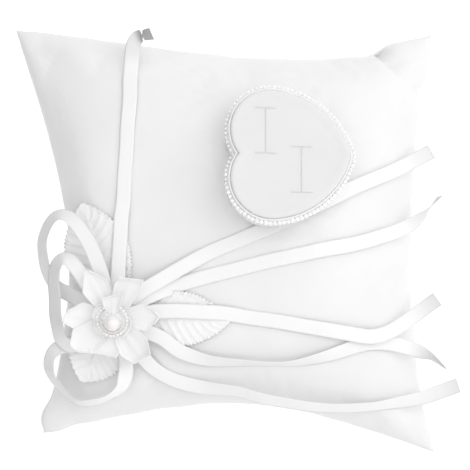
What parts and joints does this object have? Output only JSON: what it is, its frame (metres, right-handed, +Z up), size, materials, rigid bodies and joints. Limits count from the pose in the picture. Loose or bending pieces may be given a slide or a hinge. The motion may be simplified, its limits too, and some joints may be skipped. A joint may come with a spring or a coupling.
{
  "type": "ring bearer pillow",
  "caption": "Square satin cushion with a heart-shaped slotted foam ring holder, a satin flower corsage and flat ribbon tails for tying wedding rings.",
  "frame": {"origin": "middle of the cushion's bounding box, at the height of the surface it rests on", "axes": "+Z up out of the front panel, +X towards the ribbon ends, +Y towards the top seam, away from the corsage"},
  "size_m": [0.2116, 0.202, 0.085],
  "materials": {
    "satin": "white bridal satin, soft sheen",
    "ribbon_satin": "white single-face satin ribbon, high sheen",
    "leaf_cloth": "embossed satin leaf with pinked edge",
    "fibre_fill": "polyester fibre, matt",
    "flocked_foam": "flocked foam, matt velvet",
    "felt": "matt felt",
    "binding_thread": "wound thread",
    "white_plastic": "moulded white plastic",
    "hot_glue": "set hot-melt glue",
    "clear_stones": "clear faceted stones in a chain",
    "pearl_coat": "pearl lustre coat on a plastic bead"
  },
  "bodies": {
    "root": {"pillow_front_panel": "satin", "pillow_back_panel": "satin", "pillow_filling": "fibre_fill", "heart_tray": "white_plastic", "heart_insert": "flocked_foam", "heart_trim": "clear_stones", "heart_glue_pad": "hot_glue", "corsage_backing": "felt", "corsage_stem": "binding_thread", "pearl": "pearl_coat", "rhinestone_ring": "clear_stones", "petal_1": "satin", "petal_2": "satin", "petal_3": "satin", "petal_4": "satin", "petal_5": "satin", "petal_6": "satin", "petal_7": "satin", "inner_petal_1": "satin", "inner_petal_2": "satin", "inner_petal_3": "satin", "inner_petal_4": "satin", "leaf_upper": "leaf_cloth", "leaf_right": "leaf_cloth", "leaf_lower": "leaf_cloth", "bow_loop_1": "ribbon_satin", "bow_loop_2": "ribbon_satin", "bow_loop_3": "ribbon_satin", "ribbon_tail_1": "ribbon_satin", "ribbon_tail_2": "ribbon_satin", "ribbon_tail_3": "ribbon_satin", "ribbon_tail_4": "ribbon_satin", "ribbon_tail_5": "ribbon_satin", "ribbon_tail_6": "ribbon_satin"}
  },
  "joints": []
}
